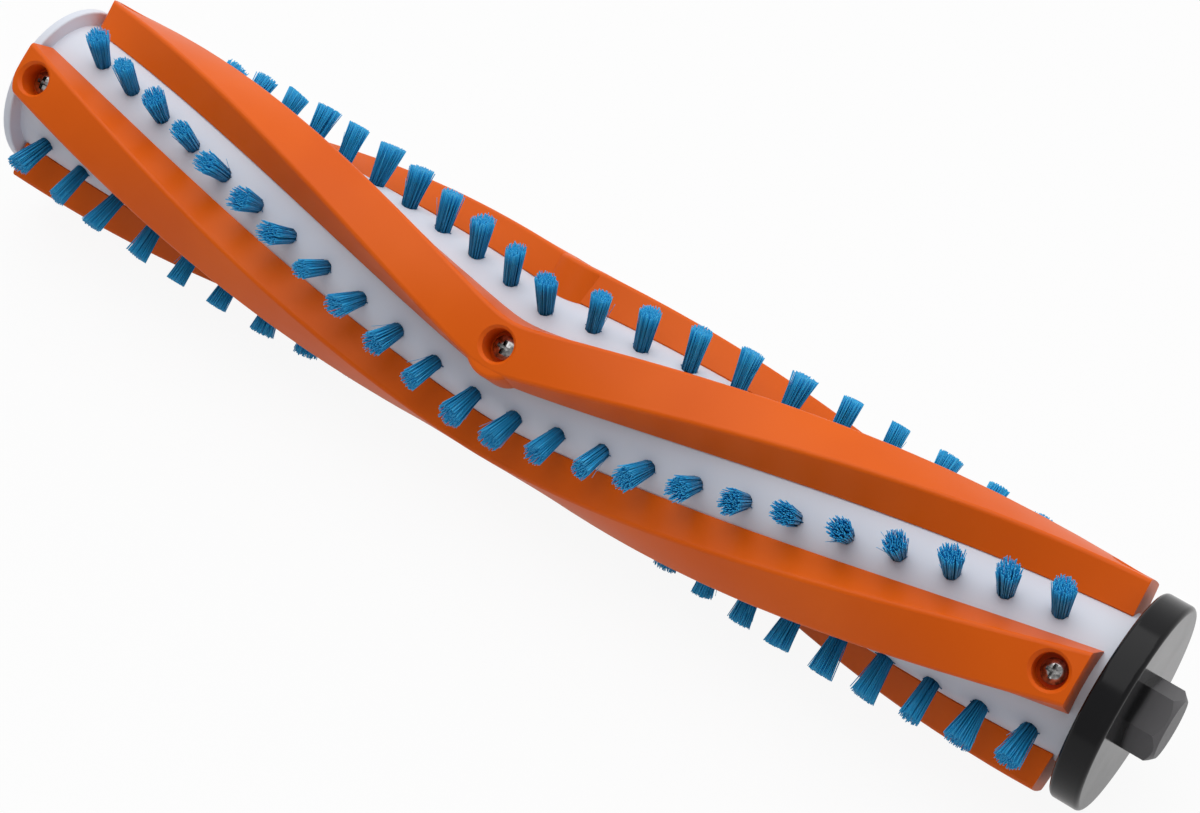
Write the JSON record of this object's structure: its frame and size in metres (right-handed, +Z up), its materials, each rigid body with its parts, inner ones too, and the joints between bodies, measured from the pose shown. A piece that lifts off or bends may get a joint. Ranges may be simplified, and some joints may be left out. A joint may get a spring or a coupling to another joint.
{
  "type": "vacuum roller brush",
  "caption": "Vacuum cleaner brush roller: white core with screwed-on orange chevron beater bars, rows of blue bristle tufts and a black end cap with a hexagonal stub.",
  "frame": {"origin": "on the roller's axis, in the plane of the end cap's outer face, at the foot of the hexagonal stub", "axes": "+X along the roller's axis and out of the stub, +Z up, -Y the side that the picture shows"},
  "size_m": [0.2696, 0.0482, 0.0482],
  "materials": {
    "white_plastic": "satin moulded white, faintly blue",
    "orange_plastic": "satin moulded orange",
    "blue_nylon": "bundled nylon filament",
    "black_plastic": "smooth black moulding",
    "plated_steel": "bright nickel plate",
    "ground_steel": "ground bearing steel"
  },
  "bodies": {
    "end_cap": {"end_cap": "black_plastic", "axle_pin": "ground_steel", "retaining_ring": "ground_steel", "bearing_inner_ring": "ground_steel"},
    "roller": {"roller_core": "white_plastic", "beater_bar_1": "orange_plastic", "beater_bar_2": "orange_plastic", "beater_bar_3": "orange_plastic", "beater_bar_4": "orange_plastic", "bar_screws": "plated_steel", "tuft_row_1": "blue_nylon", "tuft_row_2": "blue_nylon", "tuft_row_3": "blue_nylon", "tuft_row_4": "blue_nylon", "bearing_outer_ring": "ground_steel", "bearing_shield_1": "ground_steel", "bearing_shield_2": "ground_steel"},
    "ball_train": {"bearing_balls": "ground_steel", "bearing_cage": "ground_steel"}
  },
  "joints": [
    {"name": "roller_spin", "type": "hinge", "parent": "end_cap", "child": "roller", "pos_m": [-0.0105, 0, 0], "axis": [1, 0, 0], "continuous": true},
    {"name": "ball_train_spin", "type": "hinge", "parent": "end_cap", "child": "ball_train", "pos_m": [-0.0105, 0, 0], "axis": [1, 0, 0], "continuous": true}
  ],
  "couplings": [
    {"joint": "ball_train_spin", "follows": "roller_spin", "ratio": 0.59524}
  ]
}
